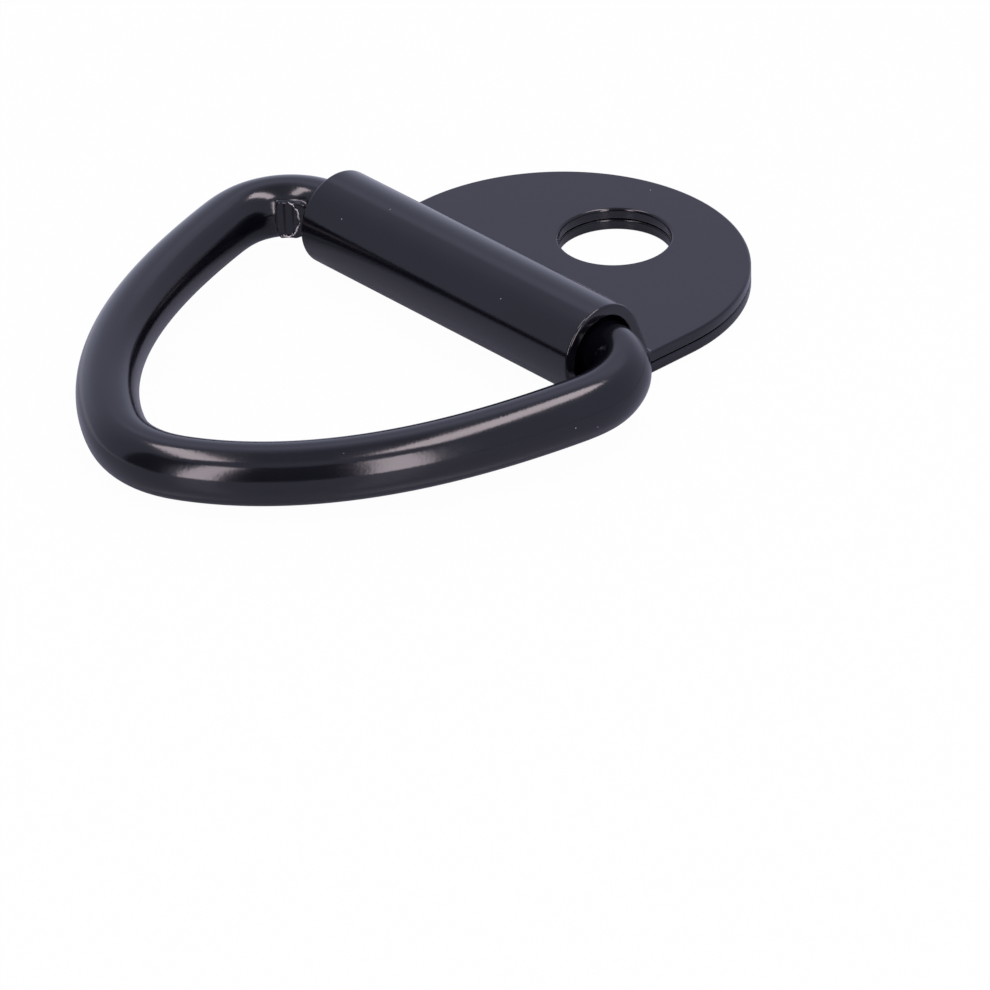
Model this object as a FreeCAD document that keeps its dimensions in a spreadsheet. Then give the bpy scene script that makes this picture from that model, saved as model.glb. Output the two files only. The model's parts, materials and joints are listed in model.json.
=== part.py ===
# V-ring tie down anchor: a folded strap bracket with one bolt hole,
# and a V-shaped ring of round bar that swings in the bracket's barrel.
# Frame: origin at the bolt hole's centre on the face that sits on the vehicle, +Z away from it,
# X along the barrel, the ring at -Y.  Lengths in millimetres, angles in degrees.
import FreeCAD, Part
import Sketcher
import math
import os

from FreeCAD import Placement, Rotation, Vector

# Driving dimensions
SIZES = {
    "strip_width": 37.5,        # the strap's width, which is the barrel's length too
    "strip": 1.15,              # thickness of the strap
    "leaf_gap": 0.1,            # what stays open between the two leaves after pressing
    "hole_diameter": 11.0,      # clearance for an M10 or 3/8 inch bolt
    "hole_to_end": 11.05,       # bolt hole's centre to the rounded end
    "hole_to_barrel": 19.35,    # bolt hole's centre to the barrel's axis
    "barrel_lift": 0.2,         # underside of the round barrel above the mounting face
    "belly_turn": 20.0,         # turn of the wider curve that brings the strap down to the base
    "back_lean": 20.0,          # how far the barrel's back leans from upright
    "back_bend": 0.8,           # inside bend between the barrel's back and the upper leaf
    "outer_rounding": 0.3,      # rolled edge on the strap's outer face
    "inner_rounding": 0.18,     # broken edge on the strap's inner face
    "bar_diameter": 6.0,        # round bar of the ring
    "bore_clearance": 0.65,     # running gap round the bar in the barrel
    "mouth_clearance": 0.02,    # straight shaft beyond each mouth of the barrel
    "corner_radius": 6.4,       # centreline bend beside each mouth
    "corner_turn": 101.4,       # turn of that bend
    "arm_radius": 73.0,         # centreline of the flatter half of each arm
    "arm_turn": 13.2,           # turn of that half; the other half curves more, into the nose
    "nose_radius": 10.6,        # centreline bend of the nose
    "nose_gap": 7.85,           # rounded end to the ring's nose when the ring lies round the bracket
    "ring_shift": 0.6,          # the ring rests this far towards its weld
    "weld_turn": 44.0,          # place of the weld: turn round the corner from the end of the shaft
    "weld_sink": 0.9,           # centre of the weld's bead inside the bar's centreline
    "weld_raised": 0.9,         # height of the bead over the bar before it was trimmed
    "weld_left": 0.2,           # height of the bead over the bar after it was trimmed
    "crown_radius": 1.15,       # roundness of the bead across its length
    "trim_width": 2.25,         # width of the cut that leaves the flat, along the bar
}

doc = FreeCAD.newDocument("tie_down_anchor")
table = doc.addObject("Spreadsheet::Sheet", "sizes")
for row, (name, value) in enumerate(SIZES.items(), start=1):
    table.set("A%d" % row, name)
    table.set("B%d" % row, str(value))
    table.setAlias("B%d" % row, name)
doc.recompute()


def size(name):
    return float(table.get(name))


# Places that follow from the driving dimensions, each with the formula that binds it
HALF_WIDTH = size("strip_width") / 2
LEAVES = 2 * size("strip") + size("leaf_gap")
BAR_RADIUS = size("bar_diameter") / 2
BORE_RADIUS = BAR_RADIUS + size("bore_clearance")
BARREL_RADIUS = BORE_RADIUS + size("strip")
AXIS_HEIGHT = BARREL_RADIUS + size("barrel_lift")
END_CENTRE = size("hole_to_end") - HALF_WIDTH
SHAFT_HALF = HALF_WIDTH + size("mouth_clearance")
RING_DEPTH = size("hole_to_barrel") + size("hole_to_end") + size("nose_gap") + BAR_RADIUS
REST_TILT = math.degrees(math.asin((AXIS_HEIGHT - BAR_RADIUS) / RING_DEPTH))
BEAD_RADIUS = BAR_RADIUS + size("weld_raised") - size("weld_sink")
FORMULA = {
    "half_width": "sizes.strip_width / 2",
    "leaves": "2 * sizes.strip + sizes.leaf_gap",
    "bore_radius": "sizes.bar_diameter / 2 + sizes.bore_clearance",
    "barrel_radius": "sizes.bar_diameter / 2 + sizes.bore_clearance + sizes.strip",
    "axis_height": "sizes.bar_diameter / 2 + sizes.bore_clearance + sizes.strip + sizes.barrel_lift",
    "shaft_half": "sizes.strip_width / 2 + sizes.mouth_clearance",
    "ring_depth": "sizes.hole_to_barrel + sizes.hole_to_end + sizes.nose_gap + sizes.bar_diameter / 2",
    "bead_radius": "sizes.bar_diameter / 2 + sizes.weld_raised - sizes.weld_sink",
}

# Ends of a curve and the axes of a sketch, as constraints count them
START, END, CENTRE = 1, 2, 3
ORIGIN, UPRIGHT = -1, -2
TINY = 0.001

# Angles on a circle, in degrees from a sketch's first axis
UP, LEFT, DOWN = 90, 180, 270


def new_body(label):
    body = doc.addObject("PartDesign::Body", label)
    body.Label = label
    return body


def new_sketch(body, name, role):
    sketch = body.newObject("Sketcher::SketchObject", name)
    plane = next(item for item in body.Origin.OriginFeatures if item.Role == role)
    sketch.AttachmentSupport = [(plane, "")]
    sketch.MapMode = "FlatFace"
    return sketch


def polar(centre, radius, angle):
    """Point on a circle, its angle in degrees from the sketch's first axis."""
    turn = math.radians(angle)
    return centre[0] + radius * math.cos(turn), centre[1] + radius * math.sin(turn)


def line(start, end):
    return Part.LineSegment(Vector(*start, 0), Vector(*end, 0))


def arc(centre, radius, first, last):
    """Arc that runs counterclockwise from one angle to the other, in degrees."""
    circle = Part.Circle(Vector(*centre, 0), Vector(0, 0, 1), radius)
    return Part.ArcOfCircle(circle, math.radians(first), math.radians(last))


def constrain(sketch, kind, *where):
    sketch.addConstraint(Sketcher.Constraint(kind, *where))


def dimension(sketch, kind, *where_value_formula):
    """A driving dimension: where it is, its value now and the formula that it follows."""
    *where, value, formula = where_value_formula
    index = sketch.addConstraint(Sketcher.Constraint(kind, *where, value))
    sketch.setExpression("Constraints[%d]" % index, formula)


def check_cut(feature, before):
    """A pocket that points away from the solid cuts nothing and shows no error."""
    doc.recompute()
    if feature.Shape.Volume > before.Shape.Volume - TINY:
        raise RuntimeError(feature.Name + " removes nothing")


def through_pocket(body, sketch, name, before):
    pocket = body.newObject("PartDesign::Pocket", name)
    pocket.Profile = sketch
    pocket.Type = "ThroughAll"
    pocket.Reversed = True
    check_cut(pocket, before)
    return pocket


# Folded bracket
def strap_section(body):
    """Side view of the folded strap: lower leaf, belly, barrel, leaning back, bend, upper leaf."""
    strip = size("strip")
    belly_turn = size("belly_turn")
    lean = size("back_lean")
    bend = size("back_bend")
    end = size("hole_to_end")
    axis = (-size("hole_to_barrel"), AXIS_HEIGHT)
    wider = size("barrel_lift") / (1 - math.cos(math.radians(belly_turn)))
    belly = BARREL_RADIUS + wider
    belly_centre = polar(axis, wider, UP - belly_turn)
    # the bend touches the leaning back and the upper leaf
    beside = polar(axis, BARREL_RADIUS + bend, lean)
    drop = (beside[1] - LEAVES - bend) / math.cos(math.radians(lean))
    bend_centre = polar(beside, drop, lean - UP)
    front = DOWN - belly_turn
    leaning = LEFT + lean

    outer = [
        line((end, 0), (belly_centre[0], 0)),
        arc(belly_centre, belly, front, DOWN),
        arc(axis, BARREL_RADIUS, lean, front),
        line(polar(axis, BARREL_RADIUS, lean), polar(bend_centre, bend, leaning)),
        arc(bend_centre, bend, leaning, DOWN),
        line((bend_centre[0], LEAVES), (end, LEAVES)),
    ]
    inner = [
        line((end, LEAVES - strip), (bend_centre[0], LEAVES - strip)),
        arc(bend_centre, bend + strip, leaning, DOWN),
        line(polar(bend_centre, bend + strip, leaning), polar(axis, BORE_RADIUS, lean)),
        arc(axis, BORE_RADIUS, lean, front),
        arc(belly_centre, belly - strip, front, DOWN),
        line((belly_centre[0], strip), (end, strip)),
    ]
    upper_end = line((end, LEAVES), (end, LEAVES - strip))
    lower_end = line((end, strip), (end, 0))

    sketch = new_sketch(body, "strap_section", "YZ_Plane")
    low, swell, barrel, back, fold, top = sketch.addGeometry(outer)
    under, hollow, wall, bore, floor, seat = sketch.addGeometry(inner)
    upper, lower = sketch.addGeometry([upper_end, lower_end])
    for first, first_end, second, second_end in (
        (low, END, swell, END), (swell, START, barrel, END), (barrel, START, back, START),
        (back, END, fold, START), (fold, END, top, START),
        (under, END, hollow, END), (hollow, START, wall, START), (wall, END, bore, START),
        (bore, END, floor, START), (floor, END, seat, START),
    ):
        constrain(sketch, "Tangent", first, first_end, second, second_end)
    for first, first_end, second, second_end in (
        (top, END, upper, START), (upper, END, under, START),
        (seat, END, lower, START), (lower, END, low, START),
        (bore, CENTRE, barrel, CENTRE), (hollow, CENTRE, fold, CENTRE), (floor, CENTRE, swell, CENTRE),
    ):
        constrain(sketch, "Coincident", first, first_end, second, second_end)
    constrain(sketch, "PointOnObject", low, START, ORIGIN)
    for level in (low, top):
        constrain(sketch, "Horizontal", level)
    for upright in (upper, lower):
        constrain(sketch, "Vertical", upright)
    constrain(sketch, "Vertical", upper, END, lower, START)
    dimension(sketch, "DistanceX", ORIGIN, START, low, START, end, "sizes.hole_to_end")
    dimension(sketch, "DistanceX", barrel, CENTRE, ORIGIN, START, -axis[0], "sizes.hole_to_barrel")
    dimension(sketch, "DistanceY", ORIGIN, START, barrel, CENTRE, AXIS_HEIGHT, FORMULA["axis_height"])
    dimension(sketch, "Radius", barrel, BARREL_RADIUS, FORMULA["barrel_radius"])
    dimension(sketch, "Radius", bore, BORE_RADIUS, FORMULA["bore_radius"])
    dimension(sketch, "DistanceY", ORIGIN, START, top, END, LEAVES, FORMULA["leaves"])
    dimension(sketch, "DistanceY", upper, END, upper, START, strip, "sizes.strip")
    dimension(sketch, "Radius", fold, bend, "sizes.back_bend")
    dimension(sketch, "Angle", swell, math.radians(belly_turn), "sizes.belly_turn")
    dimension(sketch, "Angle", fold, math.radians(UP - lean), "90 - sizes.back_lean")
    return sketch, outer, inner


def leaf_end_waste(body):
    """What is cropped off so that both leaves end in one half circle."""
    side = HALF_WIDTH + size("strip")
    beyond = size("hole_to_end") + size("strip")
    left, right = (-HALF_WIDTH, END_CENTRE), (HALF_WIDTH, END_CENTRE)
    sketch = new_sketch(body, "leaf_end_waste", "XY_Plane")
    corners = [right, (side, END_CENTRE), (side, beyond), (-side, beyond), (-side, END_CENTRE), left]
    edges = sketch.addGeometry([line(*pair) for pair in zip(corners, corners[1:])])
    end = sketch.addGeometry(arc((0, END_CENTRE), HALF_WIDTH, 0, LEFT))
    for first, second in zip(edges, edges[1:]):
        constrain(sketch, "Coincident", first, END, second, START)
    constrain(sketch, "Coincident", end, START, edges[0], START)
    constrain(sketch, "Coincident", end, END, edges[-1], END)
    constrain(sketch, "PointOnObject", end, CENTRE, UPRIGHT)
    constrain(sketch, "Horizontal", end, START, end, CENTRE)
    for level in (edges[0], edges[2], edges[4]):
        constrain(sketch, "Horizontal", level)
    for upright in (edges[1], edges[3]):
        constrain(sketch, "Vertical", upright)
    dimension(sketch, "Radius", end, HALF_WIDTH, FORMULA["half_width"])
    dimension(sketch, "DistanceY", end, CENTRE, edges[2], START, beyond - END_CENTRE,
              FORMULA["half_width"] + " + sizes.strip")
    dimension(sketch, "DistanceY", ORIGIN, START, edges[2], START, beyond, "sizes.hole_to_end + sizes.strip")
    for stub in (edges[0], edges[4]):
        dimension(sketch, "Distance", stub, side - HALF_WIDTH, "sizes.strip")
    return sketch


def bolt_circle(body):
    sketch = new_sketch(body, "bolt_circle", "XY_Plane")
    circle = Part.Circle(Vector(0, 0, 0), Vector(0, 0, 1), size("hole_diameter") / 2)
    rim = sketch.addGeometry(circle)
    constrain(sketch, "Coincident", rim, CENTRE, ORIGIN, START)
    dimension(sketch, "Diameter", rim, size("hole_diameter"), "sizes.hole_diameter")
    return sketch


def is_outline(point):
    """True on the strap's sides, its rounded end and the bolt hole."""
    on_side = abs(abs(point.x) - HALF_WIDTH) < TINY
    on_end = point.y > END_CENTRE and abs(math.hypot(point.x, point.y - END_CENTRE) - HALF_WIDTH) < TINY
    on_hole = abs(math.hypot(point.x, point.y) - size("hole_diameter") / 2) < TINY
    return on_side or on_end or on_hole


def outline_edges(shape, curves):
    """Names of the outline's edges that lie on one face of the strap, given by its side view."""
    face = Part.Compound([curve.toShape() for curve in curves])
    names = []
    for number, edge in enumerate(shape.Edges, start=1):
        middle = edge.valueAt((edge.FirstParameter + edge.LastParameter) / 2)
        seen_from_side = Part.Vertex(middle.y, middle.z, 0)
        if is_outline(middle) and face.distToShape(seen_from_side)[0] < TINY:
            names.append("Edge%d" % number)
    return names


def round_edges(body, name, before, curves, radius):
    fillet = body.newObject("PartDesign::Fillet", name)
    fillet.Base = (before, outline_edges(before.Shape, curves))
    fillet.setExpression("Radius", radius)
    check_cut(fillet, before)
    return fillet


def make_bracket():
    """One strap, folded round the barrel, with its two leaves pressed together."""
    body = new_body("folded_bracket")
    section, outer, inner = strap_section(body)
    strap = body.newObject("PartDesign::Pad", "strap")
    strap.Profile = section
    strap.Midplane = True
    strap.setExpression("Length", "sizes.strip_width")
    doc.recompute()
    cropped = through_pocket(body, leaf_end_waste(body), "rounded_end", strap)
    drilled = through_pocket(body, bolt_circle(body), "bolt_hole", cropped)
    rolled = round_edges(body, "rolled_edges", drilled, outer, "sizes.outer_rounding")
    round_edges(body, "broken_edges", rolled, inner, "sizes.inner_rounding")
    return body


# V-shaped ring
def ring_path(body):
    """Centreline of the ring, all tangent: shaft, two corners, two arms of two arcs and the nose."""
    corner, turn = size("corner_radius"), size("corner_turn")
    flat, flat_turn = size("arm_radius"), size("arm_turn")
    nose = size("nose_radius")
    leaving = UP - turn
    bowed = leaving - flat_turn
    corner_centre = (SHAFT_HALF, -corner)
    flat_centre = polar(corner_centre, flat - corner, leaving + LEFT)
    nose_centre = (0, nose - RING_DEPTH)
    # the arm's second arc leaves the first one along its end and touches the nose from outside
    leave = polar(flat_centre, flat, bowed)
    inward = polar((0, 0), 1, bowed + LEFT)
    apart = (leave[0] - nose_centre[0], leave[1] - nose_centre[1])
    along = apart[0] * inward[0] + apart[1] * inward[1]
    arm = (nose ** 2 - apart[0] ** 2 - apart[1] ** 2) / (2 * (along + nose))
    arm_centre = (leave[0] + arm * inward[0], leave[1] + arm * inward[1])
    meet = math.degrees(math.atan2(nose_centre[1] - arm_centre[1], nose_centre[0] - arm_centre[0]))

    sketch = new_sketch(body, "ring_path", "XY_Plane")
    right_half = [
        line((0, 0), (SHAFT_HALF, 0)),
        arc(corner_centre, corner, leaving, UP),
        arc(flat_centre, flat, bowed, leaving),
        arc(arm_centre, arm, meet, bowed),
    ]
    left_half = [
        arc((-arm_centre[0], arm_centre[1]), arm, LEFT - bowed, LEFT - meet),
        arc((-flat_centre[0], flat_centre[1]), flat, LEFT - leaving, LEFT - bowed),
        arc((-SHAFT_HALF, -corner), corner, UP, LEFT - leaving),
        line((-SHAFT_HALF, 0), (0, 0)),
    ]
    tip = arc(nose_centre, nose, -LEFT - meet, meet)
    shaft_a, corner_a, flat_a, arm_a = sketch.addGeometry(right_half)
    tip = sketch.addGeometry(tip)
    arm_b, flat_b, corner_b, shaft_b = sketch.addGeometry(left_half)
    for first, first_end, second, second_end in (
        (shaft_a, END, corner_a, END), (corner_a, START, flat_a, END), (flat_a, START, arm_a, END),
        (arm_a, START, tip, END), (tip, START, arm_b, END), (arm_b, START, flat_b, END),
        (flat_b, START, corner_b, END), (corner_b, START, shaft_b, START),
    ):
        constrain(sketch, "Tangent", first, first_end, second, second_end)
    constrain(sketch, "Coincident", shaft_a, START, ORIGIN, START)
    constrain(sketch, "Coincident", shaft_b, END, ORIGIN, START)
    for half in (shaft_a, shaft_b):
        constrain(sketch, "Horizontal", half)
        dimension(sketch, "Distance", half, SHAFT_HALF, FORMULA["shaft_half"])
    for bend in (corner_a, corner_b):
        dimension(sketch, "Radius", bend, corner, "sizes.corner_radius")
        dimension(sketch, "Angle", bend, math.radians(turn), "sizes.corner_turn")
    for half in (flat_a, flat_b):
        dimension(sketch, "Radius", half, flat, "sizes.arm_radius")
        dimension(sketch, "Angle", half, math.radians(flat_turn), "sizes.arm_turn")
    constrain(sketch, "PointOnObject", tip, CENTRE, UPRIGHT)
    dimension(sketch, "Radius", tip, nose, "sizes.nose_radius")
    dimension(sketch, "DistanceY", tip, CENTRE, ORIGIN, START, RING_DEPTH - nose,
              FORMULA["ring_depth"] + " - sizes.nose_radius")
    return sketch


def bar_section(body):
    sketch = new_sketch(body, "bar_section", "YZ_Plane")
    rim = sketch.addGeometry(Part.Circle(Vector(0, 0, 0), Vector(0, 0, 1), BAR_RADIUS))
    constrain(sketch, "Coincident", rim, CENTRE, ORIGIN, START)
    dimension(sketch, "Diameter", rim, size("bar_diameter"), "sizes.bar_diameter")
    return sketch


def weld_sketch(body, name):
    """Sketch from the weld's centre, its axes along the bar and away from the bend's centre."""
    sketch = new_sketch(body, name, "XY_Plane")
    turn = size("weld_turn")
    reach = size("corner_radius") - size("weld_sink")
    centre = polar((-SHAFT_HALF, -size("corner_radius")), reach, UP + turn)
    sketch.AttachmentOffset = Placement(Vector(*centre, 0), Rotation(Vector(0, 0, 1), turn))
    reach_formula = "(sizes.corner_radius - sizes.weld_sink)"
    sketch.setExpression(
        "AttachmentOffset.Base.x",
        "-(%s) - sin(sizes.weld_turn) * %s" % (FORMULA["shaft_half"], reach_formula),
    )
    sketch.setExpression(
        "AttachmentOffset.Base.y",
        "cos(sizes.weld_turn) * %s - sizes.corner_radius" % reach_formula,
    )
    sketch.setExpression("AttachmentOffset.Rotation.Angle", "sizes.weld_turn")
    return sketch


def bead_section(body):
    """Half of the bead's section along the bar; it turns round the sketch's first axis."""
    crown = size("crown_radius")
    shoulder = BEAD_RADIUS - crown
    sketch = weld_sketch(body, "bead_section")
    base, rise, top, fall = sketch.addGeometry([
        line((-crown, 0), (crown, 0)),
        line((crown, 0), (crown, shoulder)),
        arc((0, shoulder), crown, 0, LEFT),
        line((-crown, shoulder), (-crown, 0)),
    ])
    constrain(sketch, "Coincident", base, END, rise, START)
    constrain(sketch, "Coincident", fall, END, base, START)
    constrain(sketch, "Tangent", rise, END, top, START)
    constrain(sketch, "Tangent", top, END, fall, START)
    constrain(sketch, "PointOnObject", base, START, ORIGIN)
    constrain(sketch, "Horizontal", base)
    for upright in (rise, fall):
        constrain(sketch, "Vertical", upright)
    constrain(sketch, "PointOnObject", top, CENTRE, UPRIGHT)
    dimension(sketch, "Radius", top, crown, "sizes.crown_radius")
    dimension(sketch, "DistanceY", ORIGIN, START, top, CENTRE, shoulder,
              FORMULA["bead_radius"] + " - sizes.crown_radius")
    return sketch


def trim_outline(body):
    """What is cut off the bead so that a flat is left on the ring's inside."""
    half = size("trim_width") / 2
    flat = size("weld_sink") - BAR_RADIUS - size("weld_left")
    beyond = -BEAD_RADIUS - size("crown_radius")
    sketch = weld_sketch(body, "trim_outline")
    corners = [(half, flat), (-half, flat), (-half, beyond), (half, beyond), (half, flat)]
    edges = sketch.addGeometry([line(*pair) for pair in zip(corners, corners[1:])])
    land, left, bottom, right = edges
    for first, second in zip(edges, edges[1:] + edges[:1]):
        constrain(sketch, "Coincident", first, END, second, START)
    constrain(sketch, "Horizontal", bottom)
    for upright in (left, right):
        constrain(sketch, "Vertical", upright)
    constrain(sketch, "Symmetric", land, START, land, END, UPRIGHT)
    dimension(sketch, "Distance", land, 2 * half, "sizes.trim_width")
    dimension(sketch, "DistanceY", land, START, ORIGIN, START, -flat,
              "sizes.bar_diameter / 2 + sizes.weld_left - sizes.weld_sink")
    dimension(sketch, "DistanceY", bottom, START, ORIGIN, START, -beyond,
              FORMULA["bead_radius"] + " + sizes.crown_radius")
    return sketch


def make_ring():
    """Round bar bent to a V, closed by a weld that is trimmed flat inside one corner."""
    body = new_body("v_ring")
    path = ring_path(body)
    rim = bar_section(body)
    doc.recompute()
    bar = body.newObject("PartDesign::AdditivePipe", "bar")
    bar.Profile = rim
    bar.Spine = (path, ["Edge%d" % (number + 1) for number in range(len(path.Shape.Edges))])
    doc.recompute()
    bead = body.newObject("PartDesign::Revolution", "weld_bead")
    section = bead_section(body)
    bead.Profile = section
    bead.ReferenceAxis = (section, ["H_Axis"])
    doc.recompute()
    trimmed = body.newObject("PartDesign::Pocket", "trimmed_flat")
    trimmed.Profile = trim_outline(body)
    trimmed.Midplane = True
    trimmed.setExpression("Length", "2 * sizes.bar_diameter")
    check_cut(trimmed, bead)
    # the ring hangs in the barrel and its nose leans on the mounting face
    body.Placement = Placement(
        Vector(-size("ring_shift"), -size("hole_to_barrel"), AXIS_HEIGHT),
        Rotation(Vector(1, 0, 0), REST_TILT),
    )
    body.setExpression("Placement.Base.x", "-sizes.ring_shift")
    body.setExpression("Placement.Base.y", "-sizes.hole_to_barrel")
    body.setExpression("Placement.Base.z", FORMULA["axis_height"])
    body.setExpression(
        "Placement.Rotation.Angle",
        "asin((%s - sizes.bar_diameter / 2) / (%s))" % (FORMULA["axis_height"], FORMULA["ring_depth"]),
    )
    doc.recompute()
    return body


pieces = [make_bracket(), make_ring()]
doc.recompute()

for item in doc.Objects:
    if "Invalid" in item.State or "Error" in item.State:
        raise RuntimeError("%s failed: %s" % (item.Name, item.State))
for piece in pieces:
    if piece.Shape.isNull() or not piece.Shape.isValid() or len(piece.Shape.Solids) != 1:
        raise RuntimeError(piece.Label + " is not one valid solid")

os.makedirs("parts", exist_ok=True)
for piece in pieces:
    piece.Shape.exportStep("parts/%s.step" % piece.Label)
    print("%s: volume %.1f cubic mm" % (piece.Label, piece.Shape.Volume))
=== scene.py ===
import bisect
import json
import math

import bmesh
import bpy
from mathutils import Matrix, Vector, noise


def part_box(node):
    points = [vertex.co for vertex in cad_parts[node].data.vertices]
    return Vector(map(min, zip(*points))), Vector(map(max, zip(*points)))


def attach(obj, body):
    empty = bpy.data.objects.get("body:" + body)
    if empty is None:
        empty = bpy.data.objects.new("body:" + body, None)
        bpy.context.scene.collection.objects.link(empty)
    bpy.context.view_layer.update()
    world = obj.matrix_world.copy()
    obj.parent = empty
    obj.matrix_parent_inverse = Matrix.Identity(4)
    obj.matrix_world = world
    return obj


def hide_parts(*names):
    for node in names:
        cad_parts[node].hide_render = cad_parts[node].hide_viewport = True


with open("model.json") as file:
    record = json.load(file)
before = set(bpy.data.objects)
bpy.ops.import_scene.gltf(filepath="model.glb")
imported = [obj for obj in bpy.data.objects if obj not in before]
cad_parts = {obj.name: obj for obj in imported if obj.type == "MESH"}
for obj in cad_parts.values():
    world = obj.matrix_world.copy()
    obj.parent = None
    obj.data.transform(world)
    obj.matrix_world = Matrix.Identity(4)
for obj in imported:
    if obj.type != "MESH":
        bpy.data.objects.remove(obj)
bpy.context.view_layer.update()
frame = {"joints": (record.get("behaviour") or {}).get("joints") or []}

MM = 0.001
HALF_TURN = math.pi

# The strap, folded round the barrel's axis; y is along the leaves and z is up
LOW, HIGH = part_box("folded_bracket")
AXIS = Vector(frame["joints"][0]["pos_m"])
HALF_WIDTH = HIGH.x
LEAF_END = HIGH.y
BARREL_RADIUS = AXIS.y - LOW.y
STRIP = 1.15 * MM
LEAVES = 2.4 * MM
HOLE_RADIUS = 5.5 * MM
BELLY_TURN = math.radians(20)
BACK_LEAN = math.radians(20)
BACK_BEND = 0.8 * MM
OUTER_ROUNDING = 0.3 * MM
INNER_ROUNDING = 0.18 * MM
EDGE_WAVE = 0.05 * MM
EDGE_WAVE_LENGTH = 3.2 * MM
LEAF_STEPS = 144
HOLE_STEPS = 96
FOLD_STEP = math.radians(3)

# The ring's round bar: lengths and radii of its centreline from the middle of the shaft to the nose
BAR_RADIUS = 3.0 * MM
RING_SHIFT = -0.6 * MM
CORNER_RADIUS = 6.31 * MM
ARM_START_RADIUS = 108 * MM
ARM_END_RADIUS = 27.5 * MM
NOSE_RADIUS = 9.52 * MM
CORNER_EASE = 1.03 * MM
CORNER_LENGTH = 8.71 * MM
ARM_EASE = 4.11 * MM
ARM_LENGTH = 36.63 * MM
NOSE_EASE = 3.02 * MM
BEND_MIDDLE = 0.11
BEND_REACH = 6.8 * MM
BEND_OUT = 0.3 * MM
BEND_THIN = 1.0 * MM
AROUND = 160
FINE_STEP = 0.1 * MM
COARSE_STEP = 0.7 * MM

# The paint's finish
PAINT_COLOUR = (0.002, 0.002, 0.0035)
PAINT_ROUGHNESS = 0.14
PAINT_IOR = 1.6
PATCH_SIZE = 9 * MM
PATCH_LIGHTER = 1.7
GLOSS_PATCH_SIZE = 5 * MM
GLOSS_SPREAD = 0.15
PEEL_SIZE = 1.4 * MM
PEEL_HEIGHT = 0.004 * MM
GRAIN_SIZE = 0.3 * MM
GRAIN_HEIGHT = 0.004 * MM
DUST_SPACING = 2.6 * MM
DUST_SIZE = 0.06 * MM
DUST_SHARE = 0.7
DUST_HEIGHT = 0.02 * MM
DUST_ROUGHNESS = 0.7
DUST_COLOUR = (0.38, 0.38, 0.42, 1)

# The ring's weld, trimmed flat on the inside of the corner at -X
WELD_PLACE = 4.7 * MM
WELD_SINK = 0.9 * MM
WELD_REACH = 5 * MM
BEAD_RADIUS = 3.1 * MM
BEAD_SIDES = (-1.1 * MM, 1.25 * MM)
BEAD_FEET = (0.3 * MM, 0.8 * MM)
BEAD_TURN = (math.radians(-37), math.radians(46))
BEAD_FADE = (math.radians(8), math.radians(10))
LIP_HEIGHT = 0.12 * MM
FLAT_TILT = math.radians(8.5)
FLAT_DEPTH = 2.28 * MM
FLAT_LEFT = -1.35 * MM
FLAT_MIDDLE = -0.35 * MM
FLAT_RADII = (1.33 * MM, 1.85 * MM)
GROOVE_PITCH = 0.85 * MM
GROOVE_DEPTH = 0.03 * MM

# The lip that trimming tore up along the flat's edge, in angles round the flat's middle
BURR_RADIUS = 0.09 * MM
BURR_RAGGED = 0.5
BURR_RAGGED_PACE = 0.43
BURR_WOBBLE = 0.1 * MM
BURR_WOBBLE_PACE = 0.31
BURR_TAPER = 0.4
BURR_START = math.radians(-76)
BURR_END = math.radians(98)
BURR_STEPS = 48
BURR_SIDES = 10
BARE_COLOUR = (0.72, 0.7, 0.7, 1)
SMEARED_COLOUR = (0.05, 0.05, 0.06, 1)
SMEAR_SIZE = 0.35 * MM
SCRATCH_SIZE = 0.2 * MM
SCRATCH_HEIGHT = 0.02 * MM

# The camera, as it stood for the photograph
AIM = Vector((0.026867, -0.040996, 0.002))
CAMERA_AZIMUTH = 47.775
CAMERA_ELEVATION = 31.092
CAMERA_DISTANCE = 0.74574
CAMERA_ROLL = -1.53
LENS = 294.03

# The light tent: pale cool walls, with a dim gap on each side of the front left strip light
TENT_COLOUR = (0.73, 0.75, 1.0)
TENT_STRENGTH = 0.58
BACK_STRENGTH = 0.76
BACK_AZIMUTH = -125
BACK_ELEVATION = 10
ROOF_STRENGTH = 0.38
ROOF_ELEVATION = 58
ROOF_BLEND = 20
LEFT_GAP = (-34, 2)
RIGHT_GAP = (24, 60)
GAP_STRENGTH = 0.10
GAP_SOFTNESS = 5
GAP_HEAD = (46, 58)
GAP_FOOT = (-1, 7)
GAP_FOOT_SHARE = 0.55
HOOP_SIDES = (-168, -108)
HOOP_RISE = (40, 57)
HOOP_SOFTNESS = 5
HOOP_STRENGTH = 0.28
GLOW_SIDES = (-170, -88)
GLOW_RISE = (-30, 17)
GLOW_SOFTNESS = 8
GLOW_STRENGTH = 0.15

# The softboxes, a faintly warm white
LAMP_DISTANCE = 0.7
LAMP_COLOUR = (1.0, 0.87, 0.92)

# The table: pale in the paint, brighter past the ring's -X side; to the camera white with a faint shadow
TABLE_REACH = 3
TABLE_DROP = 0.05 * MM
TABLE_COLOUR = (0.39, 0.415, 0.485, 1)
TABLE_END_COLOUR = (0.28, 0.29, 0.35, 1)
TABLE_MIDDLE = 0.12
TABLE_END = 0.4
TABLE_GLOSS = 0.08
TABLE_ROUGHNESS = 0.25
TABLE_SEEN_COLOUR = (0.85, 0.85, 0.85, 1)
TABLE_SEEN_WHITE = 0.975
TABLE_LEFT = (-0.038, -0.028)
TABLE_LEFT_GLOW = 0.7
TABLE_RIGHT_GLOW = 0.08
TABLE_GLOW_COLOUR = (0.8, 0.82, 1.0, 1)


def direction(azimuth, elevation):
    """The unit vector to a place round the part; azimuth 0 is the ring's side, 90 is +X."""
    turn = math.radians(azimuth)
    rise = math.radians(elevation)
    return Vector((math.sin(turn) * math.cos(rise), -math.cos(turn) * math.cos(rise), math.sin(rise)))


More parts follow.
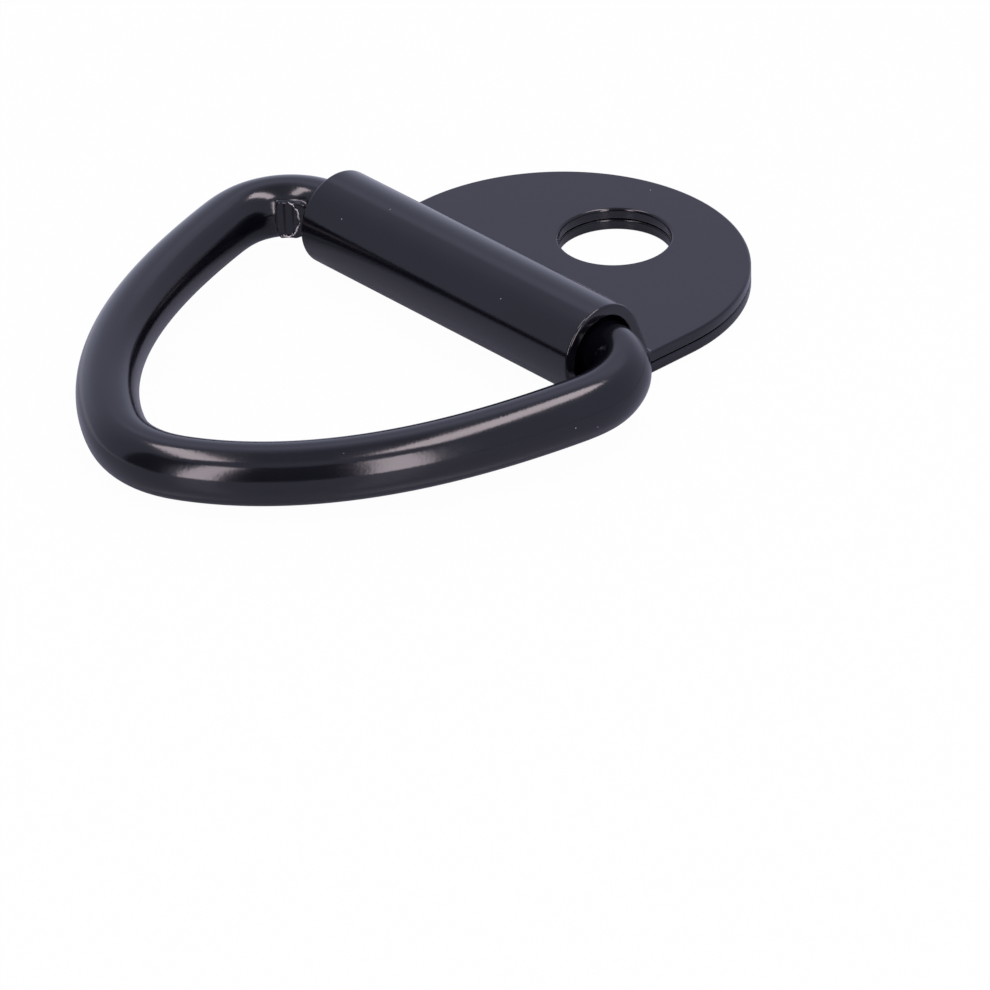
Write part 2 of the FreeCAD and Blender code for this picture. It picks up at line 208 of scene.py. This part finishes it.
def link_object(name, data):
    """A new object in the scene."""
    made = bpy.data.objects.new(name, data)
    bpy.context.scene.collection.objects.link(made)
    return made


def add_camera():
    """A long lens, a little above the part and to the right of the ring."""
    back = direction(CAMERA_AZIMUTH, CAMERA_ELEVATION)
    data = bpy.data.cameras.new("camera")
    data.sensor_width = 36
    data.lens = LENS
    data.clip_start = 0.01
    data.clip_end = 20
    camera = link_object("camera", data)
    turned = back.to_track_quat("Z", "Y").to_matrix().to_4x4()
    roll = Matrix.Rotation(math.radians(CAMERA_ROLL), 4, "Z")
    camera.matrix_world = Matrix.Translation(AIM + back * CAMERA_DISTANCE) @ turned @ roll
    bpy.context.scene.camera = camera


class Shading:
    """A node tree with short calls for the nodes that the materials share."""

    def __init__(self, tree):
        self.nodes = tree.nodes
        self.links = tree.links
        self.nodes.clear()

    def add(self, kind, **settings):
        """A new node with its settings."""
        node = self.nodes.new(kind)
        for key, value in settings.items():
            setattr(node, key, value)
        return node

    def feed(self, socket, value):
        """Links an output to a socket, or sets a plain number or colour on it."""
        if isinstance(value, bpy.types.NodeSocket):
            self.links.new(value, socket)
        else:
            socket.default_value = value

    def math(self, operation, *values):
        """One step of arithmetic on outputs or plain numbers."""
        node = self.add("ShaderNodeMath", operation=operation)
        for socket, value in zip(node.inputs, values):
            self.feed(socket, value)
        return node.outputs[0]

    def ramp(self, value, low, high, start=0.0, end=1.0):
        """A smooth step from start to end while the value goes from low to high."""
        node = self.add("ShaderNodeMapRange", interpolation_type="SMOOTHSTEP")
        for socket, given in zip(node.inputs, (value, low, high, start, end)):
            self.feed(socket, given)
        return node.outputs[0]

    def window(self, value, low, high, softness):
        """One between low and high, nothing outside."""
        rise = self.ramp(value, low - softness, low + softness)
        fall = self.ramp(value, high - softness, high + softness, 1.0, 0.0)
        return self.math("MULTIPLY", rise, fall)

    def noise(self, where, size, detail=2.0, roughness=0.5):
        """Noise with features of the given size in metres."""
        node = self.add("ShaderNodeTexNoise")
        self.feed(node.inputs["Vector"], where)
        node.inputs["Scale"].default_value = 1 / size
        node.inputs["Detail"].default_value = detail
        node.inputs["Roughness"].default_value = roughness
        return node.outputs["Fac"]

    def mix(self, factor, first, second):
        """A colour between two colours."""
        node = self.add("ShaderNodeMix", data_type="RGBA")
        self.feed(node.inputs["Factor"], factor)
        self.feed(node.inputs[6], first)
        self.feed(node.inputs[7], second)
        return node.outputs[2]

    def blend(self, factor, first, second):
        """A surface between two surfaces."""
        node = self.add("ShaderNodeMixShader")
        self.feed(node.inputs[0], factor)
        self.links.new(first.outputs[0], node.inputs[1])
        self.links.new(second.outputs[0], node.inputs[2])
        return node

    def coat(self, shader, height):
        """Sends a shader to the surface, with a relief whose height is in metres."""
        bump = self.add("ShaderNodeBump")
        bump.inputs["Strength"].default_value = 1
        bump.inputs["Distance"].default_value = 1
        self.feed(bump.inputs["Height"], height)
        self.links.new(bump.outputs["Normal"], shader.inputs["Normal"])
        output = self.add("ShaderNodeOutputMaterial")
        self.links.new(shader.outputs["BSDF"], output.inputs["Surface"])


def new_material(name):
    """An empty material and the short calls for its nodes."""
    material = bpy.data.materials.new(name)
    material.use_nodes = True
    return material, Shading(material.node_tree)


def paint(name):
    """Glossy black paint: a faint orange peel, uneven gloss and a few specks of dust."""
    material, tree = new_material(name)
    where = tree.add("ShaderNodeTexCoord").outputs["Object"]
    shader = tree.add("ShaderNodeBsdfPrincipled")
    shader.inputs["IOR"].default_value = PAINT_IOR

    cells = tree.add("ShaderNodeTexVoronoi")
    tree.feed(cells.inputs["Vector"], where)
    cells.inputs["Scale"].default_value = 1 / DUST_SPACING
    rough_edge = tree.noise(where, DUST_SIZE)
    reach = tree.math("MULTIPLY", rough_edge, 2 * DUST_SIZE / DUST_SPACING)
    speck = tree.math("LESS_THAN", cells.outputs["Distance"], reach)
    kind = tree.add("ShaderNodeSeparateColor")
    tree.feed(kind.inputs[0], cells.outputs["Color"])
    chosen = tree.math("LESS_THAN", kind.outputs[0], DUST_SHARE)
    dust = tree.math("MULTIPLY", speck, chosen)

    shade = tree.ramp(tree.noise(where, PATCH_SIZE, 3.0), 0.3, 0.7)
    lighter = tuple(channel * PATCH_LIGHTER for channel in PAINT_COLOUR)
    tinted = tree.mix(shade, (*PAINT_COLOUR, 1), (*lighter, 1))
    tree.feed(shader.inputs["Base Color"], tree.mix(dust, tinted, DUST_COLOUR))
    glossy = PAINT_ROUGHNESS * (1 - GLOSS_SPREAD)
    duller = PAINT_ROUGHNESS * (1 + GLOSS_SPREAD)
    gloss = tree.ramp(tree.noise(where, GLOSS_PATCH_SIZE, 4.0), 0.25, 0.75, glossy, duller)
    dusty = tree.math("MULTIPLY", dust, DUST_ROUGHNESS)
    tree.feed(shader.inputs["Roughness"], tree.math("MAXIMUM", gloss, dusty))

    peel = tree.math("MULTIPLY", tree.noise(where, PEEL_SIZE, 1.0), PEEL_HEIGHT)
    grain = tree.math("MULTIPLY", tree.noise(where, GRAIN_SIZE, 2.0), GRAIN_HEIGHT)
    specks = tree.math("MULTIPLY", dust, DUST_HEIGHT)
    tree.coat(shader, tree.math("ADD", tree.math("ADD", peel, grain), specks))
    return material


def bare_edge():
    """Scraped metal at the torn lip of the weld, pale where the paint has gone."""
    material, tree = new_material("scraped_lip")
    where = tree.add("ShaderNodeTexCoord").outputs["Object"]
    shader = tree.add("ShaderNodeBsdfPrincipled")
    worn = tree.ramp(tree.noise(where, SMEAR_SIZE, 3.0), 0.38, 0.55)
    tree.feed(shader.inputs["Base Color"], tree.mix(worn, SMEARED_COLOUR, BARE_COLOUR))
    tree.feed(shader.inputs["Roughness"], tree.ramp(worn, 0.0, 1.0, 0.3, 0.5))
    tree.coat(shader, tree.math("MULTIPLY", tree.noise(where, SCRATCH_SIZE), SCRATCH_HEIGHT))
    return material


def walk(stretches, point, heading):
    """Places along a line of stretches, each a length, the curvature at its two ends and a step."""
    places = [(0.0, point, heading)]
    distance = 0.0
    for length, first, last, step in stretches:
        count = max(1, round(length / step))
        for number in range(count):
            middle = first + (last - first) * (number + 0.5) / count
            turn = middle * length / count
            chord = length / count
            if turn:
                chord *= math.sin(turn / 2) / (turn / 2)
            between = heading + turn / 2
            point = point + Vector((math.cos(between), math.sin(between))) * chord
            heading += turn
            distance += length / count
            places.append((distance, point, heading))
    return places


def points_in(items):
    """The vertices among the parts of a mesh that an operator made."""
    return [item for item in items if isinstance(item, bmesh.types.BMVert)]


def pull_rim(shape, edges, step):
    """Draws a tube's open rim out by a step and returns the edges of the new rim."""
    made = bmesh.ops.extrude_edge_only(shape, edges=edges)["geom"]
    rim = points_in(made)
    bmesh.ops.transform(shape, matrix=step, verts=rim)
    fresh = set(rim)
    return [item for item in made if isinstance(item, bmesh.types.BMEdge) and set(item.verts) <= fresh]


def new_piece(name, shape, body, node, material):
    """A finished mesh that moves with its body; it may stand for a node of the frame."""
    mesh = bpy.data.meshes.new(name)
    shape.to_mesh(mesh)
    shape.free()
    for face in mesh.polygons:
        face.use_smooth = True
    mesh.materials.append(material)
    piece = link_object(name, mesh)
    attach(piece, body)
    if node:
        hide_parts(node)
    return piece


def strap_line():
    """The strap's outer face from the upper leaf's end, round the barrel, to the lower leaf's end."""
    lift = AXIS.z - BARREL_RADIUS
    belly_radius = BARREL_RADIUS + lift / (1 - math.cos(BELLY_TURN))
    belly_start = AXIS.y + (belly_radius - BARREL_RADIUS) * math.sin(BELLY_TURN)
    beside = BARREL_RADIUS + BACK_BEND
    drop = (AXIS.z + beside * math.sin(BACK_LEAN) - LEAVES - BACK_BEND) / math.cos(BACK_LEAN)
    bend = AXIS.y + beside * math.cos(BACK_LEAN) + drop * math.sin(BACK_LEAN)
    rise = HALF_TURN / 2 - BACK_LEAN
    round_barrel = HALF_TURN * 1.5 - BELLY_TURN - BACK_LEAN
    leaf = LEAF_END - bend
    stretches = (
        (leaf, 0, 0, leaf),
        (BACK_BEND * rise, -1 / BACK_BEND, -1 / BACK_BEND, BACK_BEND * FOLD_STEP * 2),
        (drop, 0, 0, drop / 3),
        (BARREL_RADIUS * round_barrel, 1 / BARREL_RADIUS, 1 / BARREL_RADIUS, BARREL_RADIUS * FOLD_STEP),
        (belly_radius * BELLY_TURN, 1 / belly_radius, 1 / belly_radius, belly_radius * FOLD_STEP),
        (LEAF_END - belly_start, 0, 0, LEAF_END - belly_start),
    )
    return walk(stretches, Vector((LEAF_END, LEAVES)), HALF_TURN)


def leaf_outline(shape, row, end, inward):
    """Closes a row of the blank with a leaf: straight sides, a half round end and the bolt hole."""
    centre = end + inward * HALF_WIDTH
    right, left = sorted(row, key=lambda vertex: -vertex.co.x)
    edges = [shape.edges.get((left, right))]
    start = shape.verts.new((HALF_WIDTH, centre, 0))
    edges.append(shape.edges.new((right, start)))
    arc = bmesh.ops.spin(
        shape, geom=[start], cent=(0, centre, 0), axis=(0, 0, 1),
        angle=-inward * HALF_TURN, steps=LEAF_STEPS,
    )
    last = points_in(arc["geom_last"])[0]
    rim = [edge for edge in shape.edges if not edge.link_faces and edge not in edges]
    edges.append(shape.edges.new((last, left)))
    place = Matrix.Translation((0, end + inward * LEAF_END, 0))
    hole = bmesh.ops.create_circle(
        shape, cap_ends=False, segments=HOLE_STEPS, radius=HOLE_RADIUS, matrix=place,
    )
    edges += rim + list({edge for vertex in hole["verts"] for edge in vertex.link_edges})
    bmesh.ops.triangle_fill(shape, edges=edges, use_beauty=True, use_dissolve=False)


def roll_edges(shape, depth, radius, segments):
    """Rounds the blank's outline and holes on one of its faces."""
    edges = [
        edge for edge in shape.edges
        if all(abs(vertex.co.z - depth) < 0.001 * MM for vertex in edge.verts)
        and edge.calc_face_angle() > HALF_TURN / 4
    ]
    bmesh.ops.bevel(
        shape, geom=edges, affect="EDGES", offset=radius, offset_type="OFFSET",
        segments=segments, profile=0.5, material=-1,
    )


def make_strap(material):
    """A flat blank with two holes, its edges rolled, folded along the strap's line."""
    line = strap_line()
    total = line[-1][0]
    shape = bmesh.new()
    corners = [shape.verts.new((side * HALF_WIDTH, line[1][0], 0)) for side in (1, -1)]
    row = [shape.edges.new(corners)]
    for distance, point, heading in line[2:-1]:
        moved = points_in(bmesh.ops.extrude_edge_only(shape, edges=row)["geom"])
        for vertex in moved:
            vertex.co.y = distance
        row = [shape.edges.get(moved)]
    leaf_outline(shape, corners, 0, 1)
    leaf_outline(shape, moved, total, -1)
    inner = points_in(bmesh.ops.extrude_face_region(shape, geom=shape.faces[:])["geom"])
    bmesh.ops.translate(shape, vec=(0, 0, STRIP), verts=inner)
    bmesh.ops.recalc_face_normals(shape, faces=shape.faces[:])
    roll_edges(shape, 0, OUTER_ROUNDING, segments=5)
    roll_edges(shape, STRIP, INNER_ROUNDING, segments=4)

    distances = [place[0] for place in line]
    for vertex in shape.verts:
        across, along, depth = vertex.co
        wave = noise.noise(Vector((across, along, 0)) / EDGE_WAVE_LENGTH) * EDGE_WAVE
        depth += wave * (depth / STRIP) ** 2
        index = max(0, min(len(line) - 2, bisect.bisect_right(distances, along) - 1))
        start, point, heading = line[index]
        stop, next_point, next_heading = line[index + 1]
        share = (along - start) / (stop - start)
        here = point.lerp(next_point, share)
        turned = heading + (next_heading - heading) * share
        vertex.co = (across, here.x - depth * math.sin(turned), here.y + depth * math.cos(turned))
    bmesh.ops.recalc_face_normals(shape, faces=shape.faces[:])
    strap = new_piece("strap", shape, "bracket", "folded_bracket", material)
    strap.modifiers.new("even_shine", "WEIGHTED_NORMAL")


def bar_line():
    """Half of the ring's centreline: shaft, corner, arm and nose, with eased changes of curvature."""
    corner, nose = 1 / CORNER_RADIUS, 1 / NOSE_RADIUS
    arm_start, arm_end = 1 / ARM_START_RADIUS, 1 / ARM_END_RADIUS
    bends = [
        (CORNER_EASE, 0, corner, FINE_STEP),
        (CORNER_LENGTH, corner, corner, FINE_STEP),
        (ARM_EASE, corner, arm_start, FINE_STEP * 3),
        (ARM_LENGTH, arm_start, arm_end, COARSE_STEP),
        (NOSE_EASE, arm_end, nose, FINE_STEP * 3),
    ]
    turned = sum(length * (first + last) / 2 for length, first, last, step in bends)
    bends.append(((HALF_TURN - turned) * NOSE_RADIUS, nose, nose, FINE_STEP * 3))
    bent = walk([(length, -first, -last, step) for length, first, last, step in bends], Vector((0, 0)), 0)
    shaft = -bent[-1][1].x
    line = [(0.0, Vector((0, 0)), 0.0)]
    for distance, point, heading in bent:
        line.append((shaft + distance, point + Vector((shaft, 0)), heading))
    return line


def step_down(value, middle, reach):
    """One below the middle by its reach or more, nothing above it, a smooth slope between."""
    share = min(1, max(0, (value - middle) / (2 * reach) + 0.5))
    return 1 - share * share * (3 - 2 * share)


def raise_weld(shape, line):
    """Raises the bead inside the left corner and trims it; returns the flat's own directions."""
    corner_start = line[1][0]
    distance, point, heading = min(line, key=lambda step: abs(step[0] - corner_start - WELD_PLACE))
    along = Vector((math.cos(heading), -math.sin(heading), 0))
    inward = Vector((-math.sin(heading), -math.cos(heading), 0))
    centre = Vector((-point.x, point.y, 0)) + inward * WELD_SINK
    facing = inward * math.cos(FLAT_TILT) + Vector((0, 0, math.sin(FLAT_TILT)))
    up = along.cross(facing)
    for vertex in shape.verts:
        away = vertex.co - centre
        if away.length > WELD_REACH:
            continue
        unwelded = away.dot(facing)
        beside = away.dot(along)
        spoke = away - along * beside
        angle = math.atan2(spoke.z, spoke.dot(inward))
        half_chord = math.sqrt(BAR_RADIUS ** 2 - (WELD_SINK * math.sin(angle)) ** 2)
        bump = max(0, BEAD_RADIUS - half_chord + WELD_SINK * math.cos(angle))
        bump *= step_down(-beside, -BEAD_SIDES[0], BEAD_FEET[0])
        bump *= step_down(beside, BEAD_SIDES[1], BEAD_FEET[1])
        bump *= step_down(-angle, -BEAD_TURN[0], BEAD_FADE[0])
        bump *= step_down(angle, BEAD_TURN[1], BEAD_FADE[1])
        vertex.co += spoke.normalized() * bump

        away = vertex.co - centre
        beside = away.dot(along)
        groove = GROOVE_DEPTH * math.cos(2 * HALF_TURN * (beside - BEAD_SIDES[0]) / GROOVE_PITCH)
        right = max(0, (beside - FLAT_MIDDLE) / FLAT_RADII[0])
        on_flat = beside > FLAT_LEFT and math.hypot(right, away.dot(up) / FLAT_RADII[1]) < 1
        level = FLAT_DEPTH + groove if on_flat else max(unwelded, FLAT_DEPTH + LIP_HEIGHT)
        vertex.co -= facing * max(0, away.dot(facing) - level)
    return Matrix.Translation(centre) @ Matrix((along, facing, up)).transposed().to_4x4()


def tighten_bend(shape, line):
    """Draws the corner at +X, a tighter bend than the other, outwards and thins its inside."""
    distance, point, heading = min(line, key=lambda step: abs(step[2] - line[-1][2] * BEND_MIDDLE))
    middle = Vector((point.x, point.y, 0))
    outward = Vector((-math.sin(heading), math.cos(heading), 0))
    for vertex in shape.verts:
        away = vertex.co - middle
        weight = max(0, 1 - (away.length / BEND_REACH) ** 2) ** 2
        inside = min(1, max(0, 0.5 - away.dot(outward) / (2 * BAR_RADIUS)))
        vertex.co += outward * weight * (BEND_OUT + BEND_THIN * inside)


def burr_place(step):
    """Where the lip's rim stands at a step along the flat's edge, and how thick it is there."""
    angle = BURR_START + (BURR_END - BURR_START) * step / BURR_STEPS
    wobble = noise.noise(Vector((step * BURR_WOBBLE_PACE, 2.0, 0.5))) * BURR_WOBBLE
    taper = math.sin(HALF_TURN * (step + 1) / (BURR_STEPS + 2)) ** BURR_TAPER
    girth = taper * (1 + BURR_RAGGED * noise.noise(Vector((step * BURR_RAGGED_PACE, 0.0, 7.0))))
    beside = FLAT_MIDDLE + (FLAT_RADII[0] + wobble) * math.cos(angle)
    rise = (FLAT_RADII[1] + wobble) * math.sin(angle)
    turned = Matrix.Rotation(-angle, 4, "Y") @ Matrix.Diagonal((girth, girth, 1, 1))
    return Matrix.Translation((beside, FLAT_DEPTH + LIP_HEIGHT, rise)) @ turned


def make_burr(weld, material):
    """The ragged lip that trimming pushed up along one side of the flat."""
    places = [weld @ burr_place(step) for step in range(BURR_STEPS + 1)]
    shape = bmesh.new()
    bmesh.ops.create_circle(
        shape, cap_ends=True, segments=BURR_SIDES, radius=BURR_RADIUS, matrix=places[0],
    )
    edges = shape.edges[:]
    for last, place in zip(places, places[1:]):
        edges = pull_rim(shape, edges, place @ last.inverted())
    bmesh.ops.edgeloop_fill(shape, edges=edges)
    bmesh.ops.recalc_face_normals(shape, faces=shape.faces[:])
    new_piece("weld_burr", shape, "ring", None, material)


def make_ring(material):
    """Round bar swept along the ring's line, half of it mirrored, with its weld."""
    line = bar_line()
    shape = bmesh.new()
    upright = Matrix.Rotation(HALF_TURN / 2, 4, "Y")
    bmesh.ops.create_circle(
        shape, cap_ends=False, segments=AROUND, radius=BAR_RADIUS, matrix=upright,
    )
    edges = shape.edges[:]
    last = Matrix.Identity(4)
    for distance, point, heading in line[1:]:
        place = Matrix.Translation((point.x, point.y, 0)) @ Matrix.Rotation(heading, 4, "Z")
        edges = pull_rim(shape, edges, place @ last.inverted())
        last = place
    half = shape.verts[:] + shape.edges[:] + shape.faces[:]
    bmesh.ops.mirror(shape, geom=half, axis="X", merge_dist=0.01 * MM)
    bmesh.ops.remove_doubles(shape, verts=shape.verts[:], dist=0.001 * MM)
    weld = raise_weld(shape, line)
    tighten_bend(shape, line)
    bmesh.ops.recalc_face_normals(shape, faces=shape.faces[:])
    depth = -line[-1][1].y
    tilt = math.asin((AXIS.z - BAR_RADIUS) / depth)
    rest = Matrix.Translation((RING_SHIFT, AXIS.y, AXIS.z)) @ Matrix.Rotation(tilt, 4, "X")
    bmesh.ops.transform(shape, matrix=rest, verts=shape.verts[:])
    new_piece("ring", shape, "ring", "v_ring", material)
    make_burr(rest @ weld, bare_edge())


def add_lamp(name, radiance, width, height, place):
    """A rectangular softbox; its power follows from its brightness and size."""
    data = bpy.data.lights.new(name, "AREA")
    data.shape = "RECTANGLE"
    data.size = width
    data.size_y = height
    data.energy = radiance * math.pi * width * height
    data.color = LAMP_COLOUR
    lamp = link_object(name, data)
    lamp.matrix_world = place


def add_strip(name, radiance, azimuth, spread, top):
    """A standing strip light that reaches from the table to an elevation."""
    away = direction(azimuth, 0) * LAMP_DISTANCE
    width = 2 * LAMP_DISTANCE * math.tan(math.radians(spread) / 2)
    height = LAMP_DISTANCE * math.tan(math.radians(top))
    middle = AIM + away + Vector((0, 0, height / 2))
    turned = (-away).to_track_quat("-Z", "Y").to_matrix().to_4x4()
    add_lamp(name, radiance, width, height, Matrix.Translation(middle) @ turned)


def add_overhead(name, radiance, azimuth, low, high, length, shift):
    """A box that hangs over the part, off to one side between two elevations."""
    near = LAMP_DISTANCE / math.tan(math.radians(high))
    far = LAMP_DISTANCE / math.tan(math.radians(low))
    beside = direction(azimuth + 90, 0) * shift
    middle = AIM + direction(azimuth, 0) * (near + far) / 2 + beside + Vector((0, 0, LAMP_DISTANCE))
    turned = Matrix.Rotation(math.radians(azimuth), 4, "Z")
    add_lamp(name, radiance, length, far - near, Matrix.Translation(middle) @ turned)


def add_lights():
    """Two strips in front and two boxes overhead, as their streaks in the paint show them."""
    add_strip("front_left_strip", radiance=5.4, azimuth=13, spread=12.5, top=48)
    add_strip("front_right_strip", radiance=5.6, azimuth=69, spread=13.5, top=48)
    add_overhead(
        "overhead_left", radiance=6.0, azimuth=-45, low=62.3, high=71.7, length=0.47, shift=-0.034,
    )
    add_overhead(
        "overhead_right", radiance=6.6, azimuth=130, low=67, high=79.9, length=0.56, shift=0.03,
    )


def add_floor():
    """A pale table, drawn white for the camera with only a trace of the shadow."""
    mesh = bpy.data.meshes.new("floor")
    shape = bmesh.new()
    bmesh.ops.create_grid(shape, x_segments=1, y_segments=1, size=TABLE_REACH)
    shape.to_mesh(mesh)
    shape.free()
    floor = link_object("floor", mesh)
    floor.location.z = -TABLE_DROP
    material, tree = new_material("table_white")
    light = tree.add("ShaderNodeLightPath")
    in_paint = light.outputs["Is Glossy Ray"]
    seen = tree.math("MAXIMUM", light.outputs["Is Camera Ray"], light.outputs["Is Transmission Ray"])
    spot = tree.add("ShaderNodeTexCoord").outputs["Object"]
    away = tree.add("ShaderNodeVectorMath", operation="LENGTH")
    tree.feed(away.inputs[0], spot)
    outer = tree.ramp(away.outputs["Value"], TABLE_MIDDLE, TABLE_END)
    place = tree.add("ShaderNodeSeparateXYZ")
    tree.feed(place.inputs[0], spot)

    matt = tree.add("ShaderNodeBsdfDiffuse")
    colour = tree.mix(outer, TABLE_COLOUR, TABLE_END_COLOUR)
    tree.feed(matt.inputs["Color"], tree.mix(seen, colour, TABLE_SEEN_COLOUR))
    shine = tree.add("ShaderNodeBsdfGlossy")
    shine.inputs["Roughness"].default_value = TABLE_ROUGHNESS
    glow = tree.add("ShaderNodeEmission")
    tree.feed(glow.inputs["Color"], tree.mix(in_paint, (1, 1, 1, 1), TABLE_GLOW_COLOUR))
    lit = tree.ramp(place.outputs[0], *TABLE_LEFT, TABLE_LEFT_GLOW, TABLE_RIGHT_GLOW)
    white = tree.math("MULTIPLY", seen, TABLE_SEEN_WHITE)
    share = tree.math("MAXIMUM", white, tree.math("MULTIPLY", in_paint, lit))
    surface = tree.blend(share, tree.blend(TABLE_GLOSS, matt, shine), glow)
    output = tree.add("ShaderNodeOutputMaterial")
    tree.links.new(surface.outputs[0], output.inputs["Surface"])
    floor.data.materials.append(material)


def add_world():
    """The walls of the tent, seen only in the paint; the camera sees plain white."""
    world = bpy.data.worlds.new("tent")
    bpy.context.scene.world = world
    world.use_nodes = True
    tree = Shading(world.node_tree)
    where = tree.add("ShaderNodeTexCoord").outputs["Generated"]
    parts = tree.add("ShaderNodeSeparateXYZ")
    tree.feed(parts.inputs[0], where)
    x, y, z = parts.outputs
    azimuth = tree.math("DEGREES", tree.math("ARCTAN2", x, tree.math("MULTIPLY", y, -1.0)))
    elevation = tree.math("DEGREES", tree.math("ARCSINE", z))
    left = tree.window(azimuth, *LEFT_GAP, GAP_SOFTNESS)
    right = tree.window(azimuth, *RIGHT_GAP, GAP_SOFTNESS)
    gap = tree.math("MAXIMUM", left, right)
    gap = tree.math("MULTIPLY", gap, tree.ramp(elevation, *GAP_HEAD, 1.0, 0.0))
    gap = tree.math("MULTIPLY", gap, tree.ramp(elevation, *GAP_FOOT, GAP_FOOT_SHARE, 1.0))
    towards_back = tree.add("ShaderNodeVectorMath", operation="DOT_PRODUCT")
    tree.feed(towards_back.inputs[0], where)
    tree.feed(towards_back.inputs[1], direction(BACK_AZIMUTH, BACK_ELEVATION))
    wall = tree.ramp(towards_back.outputs["Value"], 0.3, 1.0, TENT_STRENGTH, BACK_STRENGTH)
    roof = tree.ramp(elevation, ROOF_ELEVATION, ROOF_ELEVATION + ROOF_BLEND)
    wall = tree.ramp(roof, 0.0, 1.0, wall, ROOF_STRENGTH)
    strength = tree.ramp(gap, 0.0, 1.0, wall, GAP_STRENGTH)
    for sides, rise, softness, extra in (
        (HOOP_SIDES, HOOP_RISE, HOOP_SOFTNESS, HOOP_STRENGTH),
        (GLOW_SIDES, GLOW_RISE, GLOW_SOFTNESS, GLOW_STRENGTH),
    ):
        beside = tree.window(azimuth, *sides, softness)
        patch = tree.math("MULTIPLY", beside, tree.window(elevation, *rise, softness))
        strength = tree.math("ADD", strength, tree.math("MULTIPLY", patch, extra))
    tent = tree.add("ShaderNodeBackground")
    tent.inputs["Color"].default_value = (*TENT_COLOUR, 1)
    tree.feed(tent.inputs["Strength"], strength)
    white = tree.add("ShaderNodeBackground")
    white.inputs["Color"].default_value = (1, 1, 1, 1)
    surroundings = tree.blend(tree.add("ShaderNodeLightPath").outputs["Is Camera Ray"], tent, white)
    output = tree.add("ShaderNodeOutputWorld")
    tree.links.new(surroundings.outputs[0], output.inputs["Surface"])


add_camera()
add_world()
add_lights()
add_floor()
make_strap(paint("bracket_paint"))
make_ring(paint("ring_paint"))
bpy.context.scene.view_settings.view_transform = "Standard"
